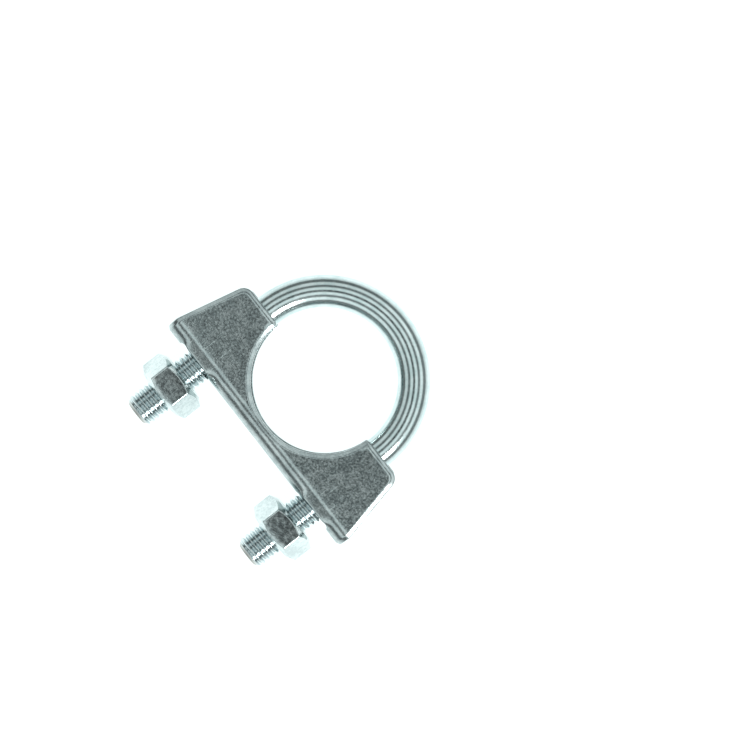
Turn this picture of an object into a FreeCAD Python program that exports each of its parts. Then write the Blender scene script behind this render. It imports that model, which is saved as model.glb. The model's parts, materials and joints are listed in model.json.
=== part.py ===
"""Exhaust clamp for a 32 mm pipe: a U-bolt, a pressed channel saddle and two hexagon nuts.

The origin is the centre of the clamped pipe, halfway along the saddle's width. +Z runs along the pipe,
+Y towards the bow of the U-bolt and -Y towards the stud tips. Sizes are in millimetres.
"""

import FreeCAD, Part

import math
import os

Vector = FreeCAD.Vector
ALONG_X = Vector(1, 0, 0)
ALONG_Y = Vector(0, 1, 0)
ALONG_Z = Vector(0, 0, 1)

# Pipe that the clamp closes on
PIPE_DIAMETER = 32.0

# U-bolt: round bar, both ends threaded M8 by rolling, so the bar is as thick as the thread's pitch circle
BAR_DIAMETER = 7.2
BOW_CLEARANCE = 0.2
TIP_CHAMFER = 0.9
STUD_BEYOND_NUT = 6.6

# Saddle: sheet steel pressed into a channel that opens towards the pipe
SHEET_THICKNESS = 1.9
INNER_BEND_RADIUS = 1.6
WALL_TO_BAR = 0.5
PIPE_TO_BASE = 3.8
SHOULDER_BELOW_CENTRE = 0.3
BASE_BEYOND_STUD = 10.7
END_LAND = 3.0
END_TAPER_DEGREES = 12.6
END_BEND_RADIUS = 5.0
SHOULDER_CORNER_RADIUS = 2.5
CRADLE_MOUTH_RADIUS = 0.8
EDGE_ROLL_RADIUS = 0.6
STUD_HOLE_CLEARANCE_ALONG = 1.4
STUD_HOLE_CLEARANCE_ACROSS = 1.1
STUD_HOLE_CORNER_RADIUS = 1.5
STUD_HOLE_OUTWARD = 0.9

# Hexagon nuts, M8
NUT_ACROSS_FLATS = 13.0
NUT_HEIGHT = 6.5
NUT_FACE_DIAMETER = 11.5
NUT_CHAMFER_DEGREES = 33.0
NUT_BORE_CLEARANCE = 0.05
NUT_COUNTERSINK_DIAMETER = 8.6
NUT_GAP = 4.1

# Length by which a cutting shape runs past what it cuts, and how near a point on a face is to it
OVERRUN = 5.0
ON_FACE = 1e-4

pipe_radius = PIPE_DIAMETER / 2
bar_radius = BAR_DIAMETER / 2
stud_x = pipe_radius + BOW_CLEARANCE + bar_radius
hole_x = stud_x + STUD_HOLE_OUTWARD
base_y = -(pipe_radius + PIPE_TO_BASE)
nut_top_y = base_y - NUT_GAP
nut_bottom_y = nut_top_y - NUT_HEIGHT
tip_y = nut_bottom_y - STUD_BEYOND_NUT
channel_half = bar_radius + WALL_TO_BAR
saddle_half = channel_half + SHEET_THICKNESS
outer_bend_radius = INNER_BEND_RADIUS + SHEET_THICKNESS
bend_top_y = base_y + outer_bend_radius


def line(start, end):
    return Part.LineSegment(start, end).toShape()


def arc_about(centre, radius, start_degrees, end_degrees, first, second):
    """An arc that turns about centre, with its angle counted from the direction first towards second."""
    angles = (start_degrees, (start_degrees + end_degrees) / 2, end_degrees)
    on_arc = [
        centre + first * (radius * math.cos(math.radians(a))) + second * (radius * math.sin(math.radians(a)))
        for a in angles
    ]
    return Part.Arc(*on_arc).toShape()


def leg(x):
    """One straight stud of the U-bolt, from the bow down to its chamfered tip."""
    shank = Part.makeCylinder(bar_radius, -tip_y - TIP_CHAMFER, Vector(x, tip_y + TIP_CHAMFER, 0), ALONG_Y)
    tip = Part.makeCone(bar_radius - TIP_CHAMFER, bar_radius, TIP_CHAMFER, Vector(x, tip_y, 0), ALONG_Y)
    return shank.fuse(tip)


def u_bolt():
    """The bar: half a ring for the bow, and a stud on each side."""
    bow = Part.makeTorus(stud_x, bar_radius, Vector(0, 0, 0), ALONG_Z, 0, 360, 180)
    return bow.fuse([leg(-stud_x), leg(stud_x)]).removeSplitter()


def channel():
    """The pressed channel before its ends and its cradle are shaped, as a section carried along X."""
    half_length = stud_x + BASE_BEYOND_STUD + OVERRUN
    top_y = OVERRUN

    def at(y, z):
        return Vector(-half_length, y, z)

    def corner(side, radius):
        """The round corner at the foot of one wall, from the wall to the base or back."""
        centre = at(bend_top_y, side * (saddle_half - outer_bend_radius))
        return arc_about(centre, radius, 0, 90, Vector(0, 0, side), Vector(0, -1, 0))

    def skin(radius, half, foot_y):
        """The open outline of one face of the sheet: wall, corner, base, corner, wall."""
        flat_half = saddle_half - outer_bend_radius
        return [
            line(at(top_y, -half), at(bend_top_y, -half)),
            corner(-1, radius),
            line(at(foot_y, -flat_half), at(foot_y, flat_half)),
            corner(1, radius),
            line(at(bend_top_y, half), at(top_y, half)),
        ]

    outside = skin(outer_bend_radius, saddle_half, base_y)
    inside = skin(INNER_BEND_RADIUS, channel_half, base_y + SHEET_THICKNESS)
    rims = [
        line(at(top_y, side * saddle_half), at(top_y, side * channel_half)) for side in (-1, 1)
    ]
    section = Part.Wire(Part.__sortEdges__(outside + inside + rims))
    return Part.Face(section).extrude(ALONG_X * (2 * half_length))


def side_outline():
    """The saddle seen along the pipe: flat base, ends that lean in, shoulders and the half-round cradle."""
    base_half = stud_x + BASE_BEYOND_STUD
    land_y = base_y + END_LAND
    shoulder_y = -SHOULDER_BELOW_CENTRE
    lean = (shoulder_y - land_y) * math.tan(math.radians(END_TAPER_DEGREES))
    mouth_half = math.sqrt(pipe_radius**2 - shoulder_y**2)

    def at(x, y):
        return Vector(x, y, -saddle_half - OVERRUN)

    def end(side):
        """The corners of one end, from the base up to the cradle's mouth."""
        return [
            at(side * base_half, base_y),
            at(side * base_half, land_y),
            at(side * (base_half - lean), shoulder_y),
            at(side * mouth_half, shoulder_y),
        ]

    left, right = end(-1), end(1)
    edges = [line(a, b) for a, b in zip(left, left[1:])]
    edges += [line(a, b) for a, b in zip(right, right[1:])]
    edges.append(line(left[0], right[0]))
    edges.append(Part.Arc(left[-1], at(0, -pipe_radius), right[-1]).toShape())
    outline = Part.Face(Part.Wire(Part.__sortEdges__(edges)))
    block = outline.extrude(ALONG_Z * (2 * (saddle_half + OVERRUN)))
    radii = (END_BEND_RADIUS, SHOULDER_CORNER_RADIUS, CRADLE_MOUTH_RADIUS)
    for k, radius in enumerate(radii, 1):
        block = block.makeFillet(radius, edges_through(block, [left[k], right[k]]))
    return block


def edges_through(shape, corners):
    """The edges along Z that stand on any of the given corners."""
    def stands_on(edge, corner):
        ends = [v.Point for v in edge.Vertexes]
        flat = [math.hypot(p.x - corner.x, p.y - corner.y) for p in ends]
        return len(ends) == 2 and max(flat) < ON_FACE

    return [e for e in shape.Edges if any(stands_on(e, c) for c in corners)]


def stud_hole(x):
    """The cutter of one stud hole: a square with round corners, which bites into both bends."""
    half_along = bar_radius + STUD_HOLE_CLEARANCE_ALONG
    half_across = bar_radius + STUD_HOLE_CLEARANCE_ACROSS
    depth = outer_bend_radius + OVERRUN
    corner = Vector(x - half_along, base_y - OVERRUN, -half_across)
    block = Part.makeBox(2 * half_along, depth, 2 * half_across, corner)
    upright = [e for e in block.Edges if abs(e.tangentAt(e.FirstParameter).y) > 0.9]
    return block.makeFillet(STUD_HOLE_CORNER_RADIUS, upright)


def on_outer_skin(point):
    """Whether a point lies on the channel's outer face: a wall, a round corner or the base."""
    side_z = abs(point.z)
    flat_half = saddle_half - outer_bend_radius
    if point.y >= bend_top_y:
        off = side_z - saddle_half
    elif side_z <= flat_half:
        off = point.y - base_y
    else:
        off = math.hypot(side_z - flat_half, point.y - bend_top_y) - outer_bend_radius
    return abs(off) < ON_FACE


def rim_edges(blank):
    """The edges round the outer skin, without the seams where the walls and the base meet the bends."""
    found = []
    for edge in blank.Edges:
        first, last = edge.ParameterRange
        points = [edge.valueAt(first + (last - first) * share) for share in (0.05, 0.35, 0.65, 0.95)]
        level = max(abs(p.y - points[0].y) + abs(p.z - points[0].z) for p in points) < ON_FACE
        seam = level and points[0].y < bend_top_y + ON_FACE
        if all(on_outer_skin(p) for p in points) and not seam:
            found.append(edge)
    return found


def saddle():
    """The saddle: shaped channel, rim rolled over by the press, then the two stud holes."""
    blank = channel().common(side_outline()).removeSplitter()
    rolled = blank.makeFillet(EDGE_ROLL_RADIUS, rim_edges(blank))
    return rolled.cut([stud_hole(-hole_x), stud_hole(hole_x)]).removeSplitter()


def hexagon(x):
    """A hexagon standing on the nut's lower face, with two of its flats facing along Z."""
    corner_radius = NUT_ACROSS_FLATS / math.sqrt(3)
    corners = [
        Vector(
            x + corner_radius * math.cos(math.radians(60 * k)),
            nut_bottom_y,
            corner_radius * math.sin(math.radians(60 * k)),
        )
        for k in range(6)
    ]
    return Part.Face(Part.makePolygon(corners + corners[:1])).extrude(ALONG_Y * NUT_HEIGHT)


def double_cone(x):
    """The turned shape that bevels a hexagon's corners at both of its faces."""
    face_radius = NUT_FACE_DIAMETER / 2
    mid = NUT_HEIGHT / 2
    waist_radius = face_radius + mid / math.tan(math.radians(NUT_CHAMFER_DEGREES))
    lower = Part.makeCone(face_radius, waist_radius, mid, Vector(x, nut_bottom_y, 0), ALONG_Y)
    upper = Part.makeCone(waist_radius, face_radius, mid, Vector(x, nut_bottom_y + mid, 0), ALONG_Y)
    return lower.fuse(upper)


def nut(x):
    """A hexagon nut on the stud at x, with its bore countersunk at both faces."""
    bore_radius = bar_radius + NUT_BORE_CLEARANCE
    sink_radius = NUT_COUNTERSINK_DIAMETER / 2
    sink = sink_radius - bore_radius
    bore = Part.makeCylinder(
        bore_radius, NUT_HEIGHT + 2 * OVERRUN, Vector(x, nut_bottom_y - OVERRUN, 0), ALONG_Y
    )
    below = Part.makeCone(sink_radius, bore_radius, sink, Vector(x, nut_bottom_y, 0), ALONG_Y)
    above = Part.makeCone(bore_radius, sink_radius, sink, Vector(x, nut_top_y - sink, 0), ALONG_Y)
    return hexagon(x).common(double_cone(x)).cut([bore, below, above])


def write(name, shape):
    """Keeps one closed solid as its own STEP file."""
    if not shape.isValid() or len(shape.Solids) != 1:
        raise ValueError(name + " is not one valid solid")
    shape.Solids[0].exportStep("parts/" + name + ".step")


os.makedirs("parts", exist_ok=True)
write("u_bolt", u_bolt())
write("saddle", saddle())
write("nut_left", nut(-stud_x))
write("nut_right", nut(stud_x))
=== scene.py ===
"""Looks of the exhaust clamp: rolled threads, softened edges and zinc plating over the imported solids.

Lengths are in metres in the frame of the solids: +Z runs along the pipe, +Y towards the bow of the
U-bolt, -Y towards the tips of its studs, and X from one stud to the other.
"""

import json
import math

import bmesh
import bpy
import numpy as np
from mathutils import Matrix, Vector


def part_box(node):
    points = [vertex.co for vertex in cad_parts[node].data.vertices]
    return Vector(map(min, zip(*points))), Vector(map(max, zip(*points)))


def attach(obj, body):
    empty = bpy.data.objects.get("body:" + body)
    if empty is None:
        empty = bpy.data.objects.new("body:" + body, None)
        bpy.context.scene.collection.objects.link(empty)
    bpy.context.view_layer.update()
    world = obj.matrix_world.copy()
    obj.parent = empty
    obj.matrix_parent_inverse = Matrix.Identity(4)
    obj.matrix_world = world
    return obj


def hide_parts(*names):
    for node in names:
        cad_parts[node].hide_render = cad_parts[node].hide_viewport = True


MM = 0.001
TURN = 2 * math.pi

# Rolled M8 thread, and the nut's own thread with its running play
PITCH = 1.25 * MM
CREST_RADIUS = 3.9 * MM
ROOT_RADIUS = 3.27 * MM
THREAD_LENGTH = 26.0 * MM
THREAD_PLAY = 0.07 * MM
CREST_ROUND = 0.09
ROOT_ROUND = 0.12
TIP_FLAT_RADIUS = 2.7 * MM
TIP_DOME = 0.2 * MM
THREAD_RINGS = 348
BAR_SIDES = 72

# Hexagon nut
NUT_FACE_RADIUS = 5.75 * MM
NUT_CHAMFER = math.radians(33)
NUT_EDGE_RADIUS = 0.22 * MM
NUT_CORNER_RADIUS = 0.35 * MM
SINK_RADIUS = 4.3 * MM
MID_FACE_RADIUS = 5.0 * MM
SINK_EDGE = 0.06 * MM
BORE_EDGE = 0.08 * MM

# Pressed saddle
SHEET = 1.9 * MM
OUTER_BEND = 3.7 * MM
RIM_WIDTH = 1.0 * MM
RIM_LEAN = math.radians(27)
RIM_START = 0.08 * MM
RIM_CORNER = 0.15 * MM
HOLE_RIM_ROLL = 0.5 * MM
HOLE_HALF_LENGTH = 5.0 * MM
HOLE_HALF_WIDTH = 4.75 * MM
HOLE_BELOW_WALL = 0.15 * MM
HOLE_CORNER = 1.5 * MM
HOLE_INNER_CORNER = 3.0 * MM
HOLE_OUTWARD = 0.9 * MM
HOLE_PATCH_HALF = 8.0 * MM
BULGE_START = math.radians(72)
BULGE_HEIGHT = 0.145 * MM
END_TAPER = math.radians(12.6)
END_FILLET = 5.0 * MM
SHOULDER_FILLET = 2.5 * MM
MOUTH_FILLET = 0.8 * MM
END_LAND = 3.0 * MM

# Photograph: pixels of the frame, and where the bow's centre and the studs' line lie in it
FRAME_PIXELS = 750
PIXELS_PER_MM = 4.54
CENTRE_PIXEL = (324.2, 380.9)
STUD_LINE_DEGREES = 38.0
CAMERA_HEIGHT = 600 * MM
SENSOR = 36.0

# Floor
FLOOR_REACH = 3.0

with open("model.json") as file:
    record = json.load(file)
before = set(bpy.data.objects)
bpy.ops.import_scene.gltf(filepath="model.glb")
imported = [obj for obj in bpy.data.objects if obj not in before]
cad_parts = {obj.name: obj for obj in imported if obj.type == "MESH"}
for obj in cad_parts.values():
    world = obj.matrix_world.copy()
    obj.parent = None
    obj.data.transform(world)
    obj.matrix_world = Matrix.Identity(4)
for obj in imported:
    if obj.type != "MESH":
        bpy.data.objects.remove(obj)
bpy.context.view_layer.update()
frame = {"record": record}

bolt_low, bolt_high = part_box("u_bolt")
saddle_low, saddle_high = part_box("saddle")
nut_low, nut_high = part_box("nut_right")
pipe_radius = next(m for m in frame["record"]["mounts"] if m["name"] == "pipe_clamp")["dims"]["r_mm"] * MM
bar_radius = bolt_high.z
stud_x = bolt_high.x - bar_radius
tip_y = bolt_low.y


# Meshes


def grid(rows, columns, closed=False):
    """Corner numbers of the quads of a grid of points, row after row. closed joins its last column to the
    first one."""
    number = np.arange(rows * columns).reshape(rows, columns)
    if closed:
        number = np.hstack([number, number[:, :1]])
    return np.stack([number[:-1, :-1], number[:-1, 1:], number[1:, 1:], number[1:, :-1]], -1).reshape(-1, 4)


def make_piece(name, patches, material):
    """A smooth closed mesh from patches of (points, quads). Points that coincide become one, all faces turn
    outwards, and faces that a pole has narrowed to a line are dropped."""
    points = np.vstack([p.reshape(-1, 3) for p, _ in patches])
    starts = np.cumsum([0] + [p.size // 3 for p, _ in patches[:-1]])
    quads = np.vstack([q + start for (_, q), start in zip(patches, starts)])
    _, first, same = np.unique(np.round(points / 1e-7), axis=0, return_index=True, return_inverse=True)
    quads = same.reshape(-1)[quads]
    faces = [tuple(dict.fromkeys(quad)) for quad in quads.tolist() if len(set(quad)) > 2]
    mesh = bpy.data.meshes.new(name)
    mesh.from_pydata(points[first].tolist(), [], faces)
    shell = bmesh.new()
    shell.from_mesh(mesh)
    bmesh.ops.recalc_face_normals(shell, faces=shell.faces[:])
    shell.to_mesh(mesh)
    shell.free()
    mesh.polygons.foreach_set("use_smooth", np.ones(len(mesh.polygons), bool))
    mesh.materials.append(material)
    piece = bpy.data.objects.new(name, mesh)
    bpy.context.scene.collection.objects.link(piece)
    return piece


def ease(value, low, high):
    """0 below low, 1 above high, and a smooth step between them."""
    t = np.clip((value - low) / (high - low), 0, 1)
    return t * t * (3 - 2 * t)


# Threaded U-bolt


def thread(y, turn_angle):
    """Height of the right-hand thread over its root, 0 to 1. The crest's middle is where distance along -Y,
    counted in pitches, less the angle from +X towards +Z, counted in turns, is a whole number."""
    turns = -y / PITCH - turn_angle / TURN
    off = np.abs((turns + 0.5) % 1.0 - 0.5)
    to_root = 0.5 - off
    bottom = 0.5 - CREST_ROUND / 2 - ROOT_ROUND / 2
    fall = np.where(off < CREST_ROUND, off**2 / (2 * CREST_ROUND), off - CREST_ROUND / 2)
    fall = np.where(to_root < ROOT_ROUND, bottom - to_root**2 / (2 * ROOT_ROUND), fall)
    return 1 - fall / bottom


def stud_rows(side, around):
    """Rings of one stud from its tip to the middle of the clamp. A ring's radius is the thread's, cut by the
    tip's 45 degree cone and faded to the plain bar at the thread's end. The tip's cap is a shallow dome."""
    along = np.concatenate([
        np.linspace(0, THREAD_LENGTH + PITCH, THREAD_RINGS),
        np.linspace(THREAD_LENGTH + 2 * PITCH, -tip_y, 8),
    ])[:, None]
    y = tip_y + along
    turn_angle = around if side > 0 else math.pi - around
    threaded = ROOT_RADIUS + (CREST_RADIUS - ROOT_RADIUS) * thread(y, turn_angle[None, :])
    fade = ease(along, THREAD_LENGTH, THREAD_LENGTH + PITCH)
    radius = np.minimum(threaded * (1 - fade) + bar_radius * fade, TIP_FLAT_RADIUS + along)
    cap_share = np.array([0.0, 0.35, 0.7, 0.93])[:, None]
    cap_y = tip_y + (1 - cap_share) ** 0.5 * TIP_DOME + 0 * around[None, :]
    radius = np.vstack([TIP_FLAT_RADIUS * cap_share + 0 * around[None, :], radius])
    y = np.vstack([cap_y, y + 0 * around[None, :]])
    x = side * (stud_x + radius * np.cos(around))
    return np.stack([x, y, radius * np.sin(around)], -1)


def u_bolt(material):
    """A round bar carried along one stud, half a ring for the bow, and the other stud."""
    around = np.linspace(0, TURN, BAR_SIDES, endpoint=False)
    bend = np.linspace(math.pi, 0, 97)[1:-1, None]
    reach = stud_x + bar_radius * np.cos(around)
    bow = np.stack([np.cos(bend) * reach, np.sin(bend) * reach, bar_radius * np.sin(around) + 0 * bend], -1)
    rows = np.concatenate([stud_rows(-1, around), bow, stud_rows(1, around)[::-1]])
    return make_piece("threaded_u_bolt", [(rows, grid(len(rows), len(around), closed=True))], material)


# Hexagon nuts


def hexagon_reach(angle):
    """Distance from the axis to a hexagon with two flats across Z, its corners rounded to a small circle."""
    flat = nut_high.z
    inset = (flat - NUT_CORNER_RADIUS) / math.cos(math.pi / 6)
    from_flat = np.abs(angle % (math.pi / 3) - math.pi / 6)
    from_corner = math.pi / 6 - from_flat
    straight = flat / np.cos(from_flat)
    half = math.atan2(NUT_CORNER_RADIUS * 0.5, inset + NUT_CORNER_RADIUS * math.cos(math.pi / 6))
    inside = np.maximum(NUT_CORNER_RADIUS**2 - (inset * np.sin(from_corner)) ** 2, 0)
    return np.where(from_corner < half, inset * np.cos(from_corner) + np.sqrt(inside), straight)


def nut(name, node, material):
    """One closed profile for each angle round the stud: countersink, face, bevel cone, soft edge and flat,
    the same mirrored, then the threaded bore. The bevel meets the flat where the cone is as wide as the
    hexagon, so its edge on each flat is an arc."""
    low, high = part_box(node)
    axis_x = (low.x + high.x) / 2
    by_corner = np.linspace(26, 30, 5)
    sector = np.concatenate([-by_corner[:0:-1], np.linspace(-26, 26, 9)[:-1], by_corner[:-1]])
    around = np.radians((sector[None, :] + 60 * np.arange(6)[:, None] + 30).reshape(-1))
    reach = hexagon_reach(around)
    drop = (reach - NUT_FACE_RADIUS) * math.tan(NUT_CHAMFER)
    lean = np.linspace(math.pi / 2 - NUT_CHAMFER, 0, 6)[:, None]
    seat = NUT_EDGE_RADIUS * (1 - math.sin(NUT_CHAMFER)) / math.cos(NUT_CHAMFER)
    edge_r = reach - NUT_EDGE_RADIUS + NUT_EDGE_RADIUS * np.cos(lean)
    edge_d = drop + seat - NUT_EDGE_RADIUS * np.sin(lean)
    share = np.linspace(0.06, 1, 7)[:-1, None]
    cone_r = NUT_FACE_RADIUS + (edge_r[0] - NUT_FACE_RADIUS) * share
    cone_d = edge_d[0] * share
    level = 0 * around
    face_end = NUT_FACE_RADIUS - SINK_EDGE
    face_r = np.array([SINK_RADIUS, SINK_RADIUS + SINK_EDGE, MID_FACE_RADIUS, face_end])
    face_d = np.array([SINK_EDGE, 0, 0, 0])
    half_r = np.vstack([face_r[:, None] + level, cone_r, edge_r])
    half_d = np.vstack([face_d[:, None] + level, cone_d, edge_d])
    middle = np.linspace(0, 1, 6)[1:-1, None]
    flat_y = (high.y - half_d[-1]) * (1 - middle) + (low.y + half_d[-1]) * middle
    outer_r = np.vstack([half_r, reach + 0 * middle, half_r[::-1]])
    outer_y = np.vstack([high.y - half_d, flat_y, low.y + half_d[::-1]])
    bore_y = np.linspace(low.y + BORE_EDGE, high.y - BORE_EDGE, 80)[:, None] + level
    threaded = ROOT_RADIUS + THREAD_PLAY + (CREST_RADIUS - ROOT_RADIUS) * thread(bore_y, around[None, :])
    to_face = np.minimum(high.y - bore_y, bore_y - low.y)
    bore_r = np.maximum(threaded, SINK_RADIUS - to_face)
    radius = np.vstack([outer_r, bore_r, outer_r[:1]])
    y = np.vstack([outer_y, bore_y, outer_y[:1]])
    points = np.stack([axis_x + radius * np.cos(around), y, radius * np.sin(around)], -1)
    return make_piece(name, [(points, grid(len(points), len(around), closed=True))], material)


# Pressed saddle

base_y = saddle_low.y
shoulder_y = saddle_high.y
base_half = saddle_high.x
wall_z = saddle_high.z
flat_half = wall_z - OUTER_BEND
bend_top_y = base_y + OUTER_BEND
bend_length = OUTER_BEND * math.pi / 2
wall_start = flat_half + bend_length
hole_x = stud_x + HOLE_OUTWARD


def arc(centre, radius, start, end, count):
    """Points along an arc from one angle to another, both in radians."""
    angle = np.linspace(start, end, count)
    return np.stack([centre[0] + radius * np.cos(angle), centre[1] + radius * np.sin(angle)], -1)


def half_outline():
    """The right half of the saddle's edge on the sheet unrolled into the plane of its wall: the cradle's
    arc, the rounded lip, the level shoulder, the leaning end, its bend at the foot, and down to the base."""
    mouth_y = shoulder_y - MOUTH_FILLET
    mouth = (math.sqrt((pipe_radius + MOUTH_FILLET) ** 2 - mouth_y**2), mouth_y)
    meets = math.atan2(mouth[1], mouth[0])
    cradle = arc((0, 0), pipe_radius, -math.pi / 2, meets, 42)
    lip = arc(mouth, MOUTH_FILLET, meets + math.pi, math.pi / 2, 9)
    corner_x = base_half - (shoulder_y - base_y - END_LAND) * math.tan(END_TAPER)
    back = SHOULDER_FILLET * (1 - math.sin(END_TAPER)) / math.cos(END_TAPER)
    rounds_at = (corner_x - back, shoulder_y - SHOULDER_FILLET)
    shoulder = arc(rounds_at, SHOULDER_FILLET, math.pi / 2, END_TAPER, 12)
    foot_x = base_half - END_FILLET
    reach = (END_FILLET + (foot_x - corner_x) * math.cos(END_TAPER)) / math.sin(END_TAPER)
    foot = arc((foot_x, shoulder_y - reach), END_FILLET, END_TAPER, 0, 5)
    top = np.linspace(lip[-1], shoulder[0], 10)[1:-1]
    share = 1 - np.linspace(1, 0, 24)[1:-1, None] ** 1.4
    slope = shoulder[-1] + (foot[0] - shoulder[-1]) * share
    down = [[base_half, bend_top_y - wall_start]]
    return np.vstack([cradle, lip[1:], top, shoulder, slope, foot, down])


outline = half_outline()


def end_x(unrolled_y):
    """How far out the saddle's end lies at a height below its shoulder."""
    lower = outline[len(outline) // 2 :][::-1]
    return np.interp(unrolled_y, lower[:, 1], lower[:, 0])


def to_edge(x, unrolled_y):
    """Shortest distance to the saddle's edge, on the sheet unrolled into the plane of its wall."""
    points = np.stack([np.abs(x), unrolled_y], -1)[..., None, :]
    start, step = outline[:-1], np.diff(outline, axis=0)
    share = np.clip(((points - start) * step).sum(-1) / np.maximum((step**2).sum(-1), 1e-18), 0, 1)
    return np.sqrt((((points - start) - share[..., None] * step) ** 2).sum(-1)).min(-1)


def rounded(distance, radius, reach):
    """How deep an edge lies below its face at a distance from the edge: an arc of a circle that starts level
    at the reach. With a radius as long as the reach it ends upright at the edge."""
    inward = np.clip(reach - distance, 0, reach)
    return radius - np.sqrt(np.maximum(radius**2 - inward**2, 0))


def rolled_rim(distance):
    """Depth of the bevel that the press sets into the outer face along its rim: it starts as a parabola,
    goes on straight, and ends in a round corner at the edge."""
    inward = np.clip((RIM_WIDTH - distance) / RIM_START, 0, None)
    bevel = RIM_START * math.tan(RIM_LEAN) * np.where(inward < 1, inward**2 / 2, inward - 0.5)
    return bevel + rounded(distance, RIM_CORNER, RIM_CORNER)


def bulge(across, x):
    """How far the bend stands out beside a stud hole, where the sheet stays straighter than elsewhere.
    It grows with the square of the distance, in millimetres, down from a little below the wall, and fades
    out along the bend past the hole and in towards the base's middle."""
    down = np.clip((flat_half + OUTER_BEND * BULGE_START - np.abs(across)) / MM, 0, 1.95)
    beside = 1 - ease(np.abs(np.abs(x) - hole_x), 2.6 * MM, 5.6 * MM)
    return BULGE_HEIGHT * down**2 * beside * ease(np.abs(across), 2.2 * MM, 4.6 * MM)


def sheet_point(across, x, depth):
    """A point of the sheet. across counts along the outer face from the base's middle line, over one bend
    and up that wall. The normal turns through the bend, and depth goes in along it."""
    side, far = np.sign(across), np.abs(across)
    turn = np.clip((far - flat_half) / OUTER_BEND, 0, math.pi / 2)
    z = side * (np.minimum(far, flat_half) + (OUTER_BEND - depth) * np.sin(turn))
    y = bend_top_y - (OUTER_BEND - depth) * np.cos(turn) + np.maximum(far - wall_start, 0)
    return np.stack([x + 0 * far, y, z], -1)


def skin_depths(across, x, to_hole):
    """Depths of the outer and the inner face: the sheet's, plus its rolled edges and less the bulge by the
    stud holes."""
    unrolled_y = bend_top_y + np.abs(across) - wall_start
    edge = to_edge(x, unrolled_y)
    lift = bulge(across, x)
    outer = rolled_rim(edge) + rounded(to_hole, HOLE_RIM_ROLL, HOLE_RIM_ROLL) - lift
    nearest = np.minimum(edge, to_hole)
    inner = SHEET - rounded(nearest, RIM_CORNER, RIM_CORNER) - lift
    return outer, inner


def sheet_patch(across, x, to_hole=1.0):
    """The outer and the inner face over one grid, as two patches."""
    across, x = np.broadcast_arrays(across, x)
    outer, inner = skin_depths(across, x, to_hole)
    quads = grid(*across.shape)
    return [(sheet_point(across, x, outer), quads), (sheet_point(across, x, inner), quads)]


def hole_edge(edge_x, edge_across, half_width):
    """A stud hole's edge on one face, a square with round corners: one point for each point round it."""
    out = np.stack([edge_x - hole_x, edge_across])
    corner = np.where(out[0] < 0, HOLE_INNER_CORNER, HOLE_CORNER)
    reach = np.array([[HOLE_HALF_LENGTH], [half_width]]) - corner
    core = np.clip(out, -reach, reach)
    away = out - core
    return core + corner * away / np.hypot(*away) + [[hole_x], [0]]


def hole_patch(side, stations, strip):
    """The sheet round one stud hole: rays from the hole's edge to a rectangle that its neighbours share.
    The hole is cut along Y, so on the inner face it reaches up to the foot of the wall."""
    edge_x = np.concatenate([
        np.full(len(strip), stations[0]),
        stations[1:-1],
        np.full(len(strip), stations[-1]),
        stations[-2:0:-1],
    ])
    edge_across = np.concatenate([
        strip,
        np.full(len(stations) - 2, strip[-1]),
        strip[::-1],
        np.full(len(stations) - 2, strip[0]),
    ])
    share = np.linspace(0, 1, 22)[:, None] ** 1.7
    faces = []
    for face, half_width in enumerate((HOLE_HALF_WIDTH, wall_start - HOLE_BELOW_WALL)):
        hole = hole_edge(edge_x, edge_across, half_width)
        x = hole[0] * (1 - share) + edge_x * share
        across = hole[1] * (1 - share) + edge_across * share
        depth = skin_depths(across, x, np.hypot(x - hole[0], across - hole[1]))[face]
        faces.append(sheet_point(across, x, depth))
    quads = grid(len(share), len(edge_x), closed=True)
    wall = np.stack([faces[0][0], faces[1][0]])
    patches = [(faces[0], quads), (faces[1], quads), (wall, grid(2, len(edge_x), closed=True))]
    return [(points * [side, 1, 1], quads) for points, quads in patches]


def saddle(material):
    """The pressed sheet: walls over the bends, base strips between and beyond the stud holes, the sheet
    round each hole, and the cut edge that joins the outer face to the inner one."""
    above = outline[outline[:, 1] > bend_top_y + 0.05 * MM]
    right = np.append(above[:, 0], end_x(bend_top_y))
    top = np.append(above[:, 1], bend_top_y)
    stations = np.concatenate([-right[:0:-1], right])
    top = np.concatenate([top[:0:-1], top])
    middle = wall_start - 1.8 * MM
    half_strip = np.concatenate([
        np.linspace(0, flat_half, 6)[:-1],
        np.linspace(flat_half, middle, 14)[:-1],
        np.linspace(middle, wall_start, 13),
    ])
    strip = np.concatenate([-half_strip[:0:-1], half_strip])
    strip_end = end_x(bend_top_y + np.abs(strip) - wall_start)
    near = np.argmin(np.abs(right - (hole_x - HOLE_PATCH_HALF)))
    far = np.argmin(np.abs(right - (hole_x + HOLE_PATCH_HALF)))
    held = right[near : far + 1]
    patches = []
    rise = 1 - np.linspace(1, 0, 26)[:, None] ** 1.5
    for side in (-1, 1):
        across = side * (wall_start + rise * (top - bend_top_y))
        wall = sheet_patch(across, stations)
        rim = np.stack([wall[0][0][-1], wall[1][0][-1]])
        patches += wall + [(rim, grid(2, len(stations)))]
    inner_run = np.concatenate([-right[near:0:-1], right[: near + 1]])
    patches += sheet_patch(strip[:, None], inner_run)
    for side in (-1, 1):
        outward = (right[far:] - right[far]) / (right[-1] - right[far])
        end_run = right[far] + outward * (strip_end[:, None] - right[far])
        end = sheet_patch(strip[:, None], side * end_run)
        rim = np.stack([end[0][0][:, -1], end[1][0][:, -1]])
        patches += end + [(rim, grid(2, len(strip)))]
        patches += hole_patch(side, held, strip)
    return make_piece("pressed_saddle", patches, material)


# Materials


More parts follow.
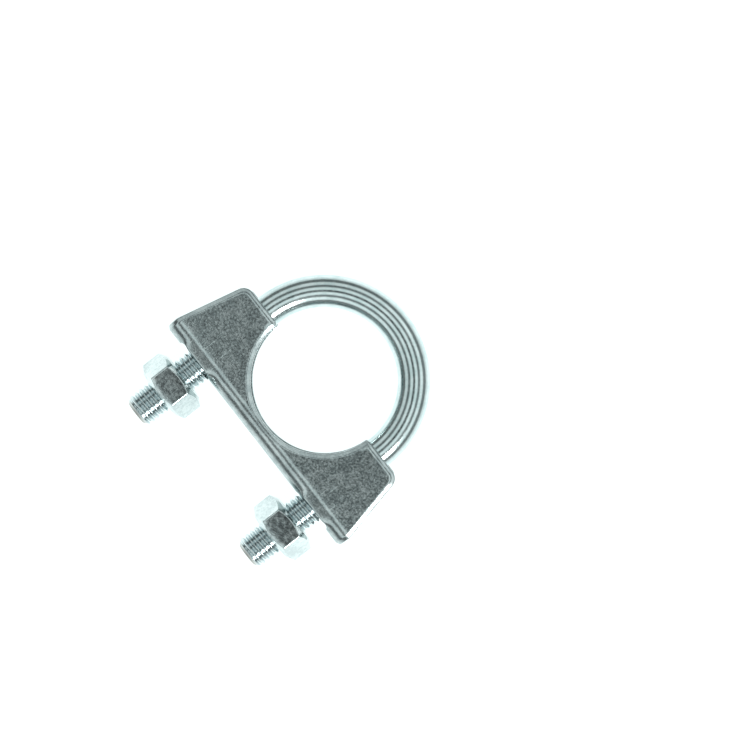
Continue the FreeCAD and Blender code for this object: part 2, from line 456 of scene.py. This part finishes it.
def linear(hex_colour):
    """The linear red, green, blue and alpha of an sRGB hex colour."""
    parts = [int(hex_colour[k : k + 2], 16) / 255 for k in (1, 3, 5)]
    return [p / 12.92 if p <= 0.04045 else ((p + 0.055) / 1.055) ** 2.4 for p in parts] + [1.0]


def add(tree, kind, links=None, **settings):
    """Adds a node. settings are its properties, or its sockets' values where the node has no such property;
    links joins its sockets to outputs of other nodes."""
    node = tree.nodes.new(kind)
    for key, value in settings.items():
        if hasattr(node, key):
            setattr(node, key, value)
        else:
            node.inputs[key.replace("_", " ")].default_value = value
    for socket, source in (links or {}).items():
        tree.links.new(source, node.inputs[socket])
    return node


def spread(tree, source, *limits):
    """Maps a value from one range to another. limits are the low and high before, and those after."""
    node = add(tree, "ShaderNodeMapRange", {"Value": source})
    for socket, value in zip(("From Min", "From Max", "To Min", "To Max"), limits):
        node.inputs[socket].default_value = value
    return node.outputs["Result"]


def ramp(tree, source, stops):
    """A colour ramp over (position, hex colour) stops."""
    node = add(tree, "ShaderNodeValToRGB", {"Fac": source})
    band = node.color_ramp
    while len(band.elements) < len(stops):
        band.elements.new(0.5)
    for element, (position, colour) in zip(band.elements, stops):
        element.position = position
        element.color = linear(colour)
    return node.outputs["Color"]


def zinc(name, colours, roughness, grain_mm, grain_depth_mm, shade=None, lines=None):
    """Zinc plated on steel in a bath, a pale metal with a cool cast. The plating's crystals and the steel's
    own grain mottle what it reflects: each turns the reflection and its roughness a little its own way.
    Real crystals are finer than a pixel, so grain_mm is as coarse as the mottling shows. shade may change
    the colour by place, and lines the normal."""
    material = bpy.data.materials.new(name)
    material.use_nodes = True
    tree = material.node_tree
    shader = tree.nodes["Principled BSDF"]
    shader.inputs["Metallic"].default_value = 1.0
    place = add(tree, "ShaderNodeTexCoord").outputs["Object"]
    fine = 1 / (grain_mm * MM)
    grain = add(tree, "ShaderNodeTexNoise", {"Vector": place}, Scale=fine, Detail=3.0, Roughness=0.6)
    cloud = add(tree, "ShaderNodeTexNoise", {"Vector": place}, Scale=fine / 7, Detail=2.0)
    mixed = add(tree, "ShaderNodeMath", {0: grain.outputs["Fac"], 1: cloud.outputs["Fac"]}, operation="ADD")
    half = add(tree, "ShaderNodeMath", {0: mixed.outputs[0]}, operation="MULTIPLY")
    half.inputs[1].default_value = 0.5
    stops = list(zip((0.4, 0.5, 0.6), colours))
    colour = ramp(tree, half.outputs[0], stops)
    if shade:
        colour = shade(tree, place, colour)
    tree.links.new(colour, shader.inputs["Base Color"])
    tree.links.new(spread(tree, grain.outputs["Fac"], 0.35, 0.65, *roughness), shader.inputs["Roughness"])
    relief = {"Strength": 1.0, "Distance": grain_depth_mm * MM}
    bump = add(tree, "ShaderNodeBump", {"Height": grain.outputs["Fac"]}, **relief)
    normal = bump.outputs["Normal"]
    if lines:
        normal = lines(tree, place, normal)
    tree.links.new(normal, shader.inputs["Normal"])
    return material


def thread_shade_and_tip_tint(tree, place, colour):
    """Painted shade on the thread's flanks and painted light on its crests and roots, told apart by the
    distance from the stud's axis, and a brown tint over the ends of the bar at the studs' tips."""
    axes = add(tree, "ShaderNodeSeparateXYZ", {"Vector": place}).outputs
    side = add(tree, "ShaderNodeMath", {0: axes["X"]}, operation="ABSOLUTE").outputs[0]
    off = add(tree, "ShaderNodeMath", {0: side}, operation="SUBTRACT")
    off.inputs[1].default_value = stud_x
    flat = add(tree, "ShaderNodeCombineXYZ", {"X": off.outputs[0], "Y": axes["Z"]}).outputs[0]
    radius = add(tree, "ShaderNodeVectorMath", {0: flat}, operation="LENGTH").outputs["Value"]
    height = spread(tree, radius, ROOT_RADIUS, CREST_RADIUS, 0.0, 1.0)
    # painted shade: flanks darker, crests and roots lighter, for the reflections that the thread's own shape
    # turns away
    painted_flank_shade = ramp(tree, height, [(0.0, "#e6eeee"), (0.25, "#c4d0d3"), (0.6, "#c4d0d3"), (0.85, "#e6eeee")])
    plain = spread(tree, axes["Y"], tip_y + THREAD_LENGTH, tip_y + THREAD_LENGTH + PITCH, 0.0, 1.0)
    shaded_thread = add(tree, "ShaderNodeMixRGB", {"Fac": plain, "Color1": painted_flank_shade, "Color2": colour}).outputs[0]
    cut = spread(tree, axes["Y"], tip_y + TIP_DOME, tip_y + 0.9 * MM, 0.6, 0.0)
    links = {"Fac": cut, "Color1": shaded_thread}
    return add(tree, "ShaderNodeMixRGB", links, Color2=linear("#7a6251")).outputs[0]


def wipe_marks(tree, place, normal):
    """Fine scores along Y that the press tool drew up the walls: sparse, deepest by the bends beside the
    stud holes and gone halfway up."""
    stretched = add(tree, "ShaderNodeMapping", {"Vector": place})
    stretched.inputs["Scale"].default_value = (1 / (0.3 * MM), 1 / (7 * MM), 1 / (7 * MM))
    score = add(tree, "ShaderNodeTexNoise", {"Vector": stretched.outputs["Vector"]}, Scale=1.0, Detail=1.0)
    sparse = spread(tree, score.outputs["Fac"], 0.62, 0.74, 0.0, 1.0)
    axes = add(tree, "ShaderNodeSeparateXYZ", {"Vector": place}).outputs
    side = add(tree, "ShaderNodeMath", {0: axes["X"]}, operation="ABSOLUTE").outputs[0]
    off = add(tree, "ShaderNodeMath", {0: side}, operation="SUBTRACT")
    off.inputs[1].default_value = stud_x - 1 * MM
    away = add(tree, "ShaderNodeMath", {0: off.outputs[0]}, operation="ABSOLUTE").outputs[0]
    beside = spread(tree, away, 4 * MM, 7 * MM, 1.0, 0.1)
    low = spread(tree, axes["Y"], bend_top_y - 1 * MM, bend_top_y + 6 * MM, 1.0, 0.0)
    depth = add(tree, "ShaderNodeMath", {0: low, 1: beside}, operation="MULTIPLY").outputs[0]
    height = add(tree, "ShaderNodeMath", {0: sparse, 1: depth}, operation="MULTIPLY").outputs[0]
    links = {"Height": height, "Normal": normal}
    return add(tree, "ShaderNodeBump", links, Strength=1.0, Distance=0.02 * MM).outputs["Normal"]


# Stage, light and camera


def stage():
    """A plain white light table, on which the nuts' flats lie: frosted acrylic lit from below, so it glows
    upwards, and less towards the horizon."""
    around = ((-1, -1), (1, -1), (1, 1), (-1, 1))
    corners = [(FLOOR_REACH * x, FLOOR_REACH * y, nut_low.z) for x, y in around]
    mesh = bpy.data.meshes.new("floor")
    mesh.from_pydata(corners, [], [(0, 1, 2, 3)])
    acrylic = bpy.data.materials.new("lit_white_acrylic")
    acrylic.use_nodes = True
    tree = acrylic.node_tree
    shader = tree.nodes["Principled BSDF"]
    shader.inputs["Base Color"].default_value = linear("#959797")
    shader.inputs["Roughness"].default_value = 0.9
    shader.inputs["Specular IOR Level"].default_value = 0.0
    shader.inputs["Emission Color"].default_value = linear("#f4ffff")
    seen_from = add(tree, "ShaderNodeNewGeometry").outputs["Incoming"]
    upright = add(tree, "ShaderNodeSeparateXYZ", {"Vector": seen_from}).outputs["Z"]
    tree.links.new(spread(tree, upright, 0.0, 0.5, 0.4, 1.0), shader.inputs["Emission Strength"])
    mesh.materials.append(acrylic)
    floor = bpy.data.objects.new("floor", mesh)
    bpy.context.scene.collection.objects.link(floor)


def tent():
    """Light of a white tent with an opening for the camera straight above. Its brightness goes by the angle
    from the top, and falls a little on the side of the left stud."""
    world = bpy.data.worlds.new("tent")
    world.use_nodes = True
    bpy.context.scene.world = world
    tree = world.node_tree
    direction = add(tree, "ShaderNodeTexCoord").outputs["Generated"]
    axes = add(tree, "ShaderNodeSeparateXYZ", {"Vector": direction})
    angle = add(tree, "ShaderNodeMath", {0: axes.outputs["Z"]}, operation="ARCCOSINE")
    share = add(tree, "ShaderNodeMath", {0: angle.outputs[0]}, operation="DIVIDE")
    share.inputs[1].default_value = math.pi
    degrees = (
        (0, "#353838"),
        (3, "#3a3d3d"),
        (7, "#747a7a"),
        (10, "#eefafa"),
        (25, "#eefafa"),
        (28, "#787e7e"),
        (42, "#787e7e"),
        (45, "#f4ffff"),
        (64, "#f4ffff"),
        (67, "#767c7c"),
        (90, "#808686"),
    )
    light = ramp(tree, share.outputs[0], [(angle / 180, colour) for angle, colour in degrees])
    tree.links.new(light, tree.nodes["Background"].inputs["Color"])
    side = spread(tree, axes.outputs["X"], -0.5, 0.0, 0.75, 1.0)
    tree.links.new(side, tree.nodes["Background"].inputs["Strength"])


def softbox(name, where, size, power):
    """A square soft light that faces the clamp."""
    light = bpy.data.lights.new(name, "AREA")
    light.size = size
    light.energy = power
    box = bpy.data.objects.new(name, light)
    back = np.array(where) / np.linalg.norm(where)
    right = np.cross([0, 0, 1], back)
    right = right / np.linalg.norm(right)
    turn = np.stack([right, np.cross(back, right), back], 1)
    box.matrix_world = Matrix.Translation(where) @ Matrix(turn.tolist()).to_4x4()
    bpy.context.scene.collection.objects.link(box)


def camera():
    """Straight down on the lying clamp, turned in its plane until the studs run as in the photograph."""
    turn = math.radians(STUD_LINE_DEGREES)
    right = np.array([math.sin(turn), math.cos(turn), 0])
    up = np.array([-math.cos(turn), math.sin(turn), 0])
    half = FRAME_PIXELS / 2
    centre = ((half - CENTRE_PIXEL[0]) * right + (CENTRE_PIXEL[1] - half) * up) * MM / PIXELS_PER_MM
    data = bpy.data.cameras.new("camera")
    data.sensor_width = SENSOR
    data.lens = SENSOR * CAMERA_HEIGHT / (FRAME_PIXELS * MM / PIXELS_PER_MM)
    view = bpy.data.objects.new("camera", data)
    turned = Matrix(np.stack([right, up, [0, 0, 1]], 1).tolist()).to_4x4()
    view.matrix_world = Matrix.Translation((centre[0], centre[1], CAMERA_HEIGHT)) @ turned
    bpy.context.scene.collection.objects.link(view)
    bpy.context.scene.camera = view


def main():
    # Drawn bar is smooth under its plating, so the bow shows clear bands of light
    bar_colours = ("#cedddd", "#d9e5e5", "#e4eeee")
    bar_zinc = zinc(
        "bright_zinc_on_rolled_bar", bar_colours, (0.12, 0.20), 0.35, 0.002, shade=thread_shade_and_tip_tint
    )
    # Hot-rolled sheet is rough under its plating, so the saddle looks grey and speckled
    sheet_colours = ("#abb4b5", "#bdc6c6", "#cfd6d6")
    sheet_zinc = zinc(
        "dull_zinc_on_pressed_sheet", sheet_colours, (0.14, 0.24), 0.45, 0.020, lines=wipe_marks
    )
    # A forged nut's flats are pale and satin, with soft clouds
    nut_colours = ("#ccd5d6", "#dbe4e4", "#e8eeee")
    nut_zinc = zinc("satin_zinc_on_forged_nut", nut_colours, (0.10, 0.18), 0.75, 0.020)
    pieces = [
        (u_bolt(bar_zinc), "u_bolt", "plated_bar"),
        (saddle(sheet_zinc), "saddle", "plated_sheet"),
        (nut("hexagon_nut_left", "nut_left", nut_zinc), "nut_left", "plated_nut"),
        (nut("hexagon_nut_right", "nut_right", nut_zinc), "nut_right", "plated_nut"),
    ]
    for piece, node, slot in pieces:
        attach(piece, node)
        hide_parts(node)
    stage()
    tent()
    softbox("key_softbox", (0.46, -0.05, 0.36), 0.2, 1.8)
    camera()
    bpy.context.scene.view_settings.view_transform = "Standard"


main()
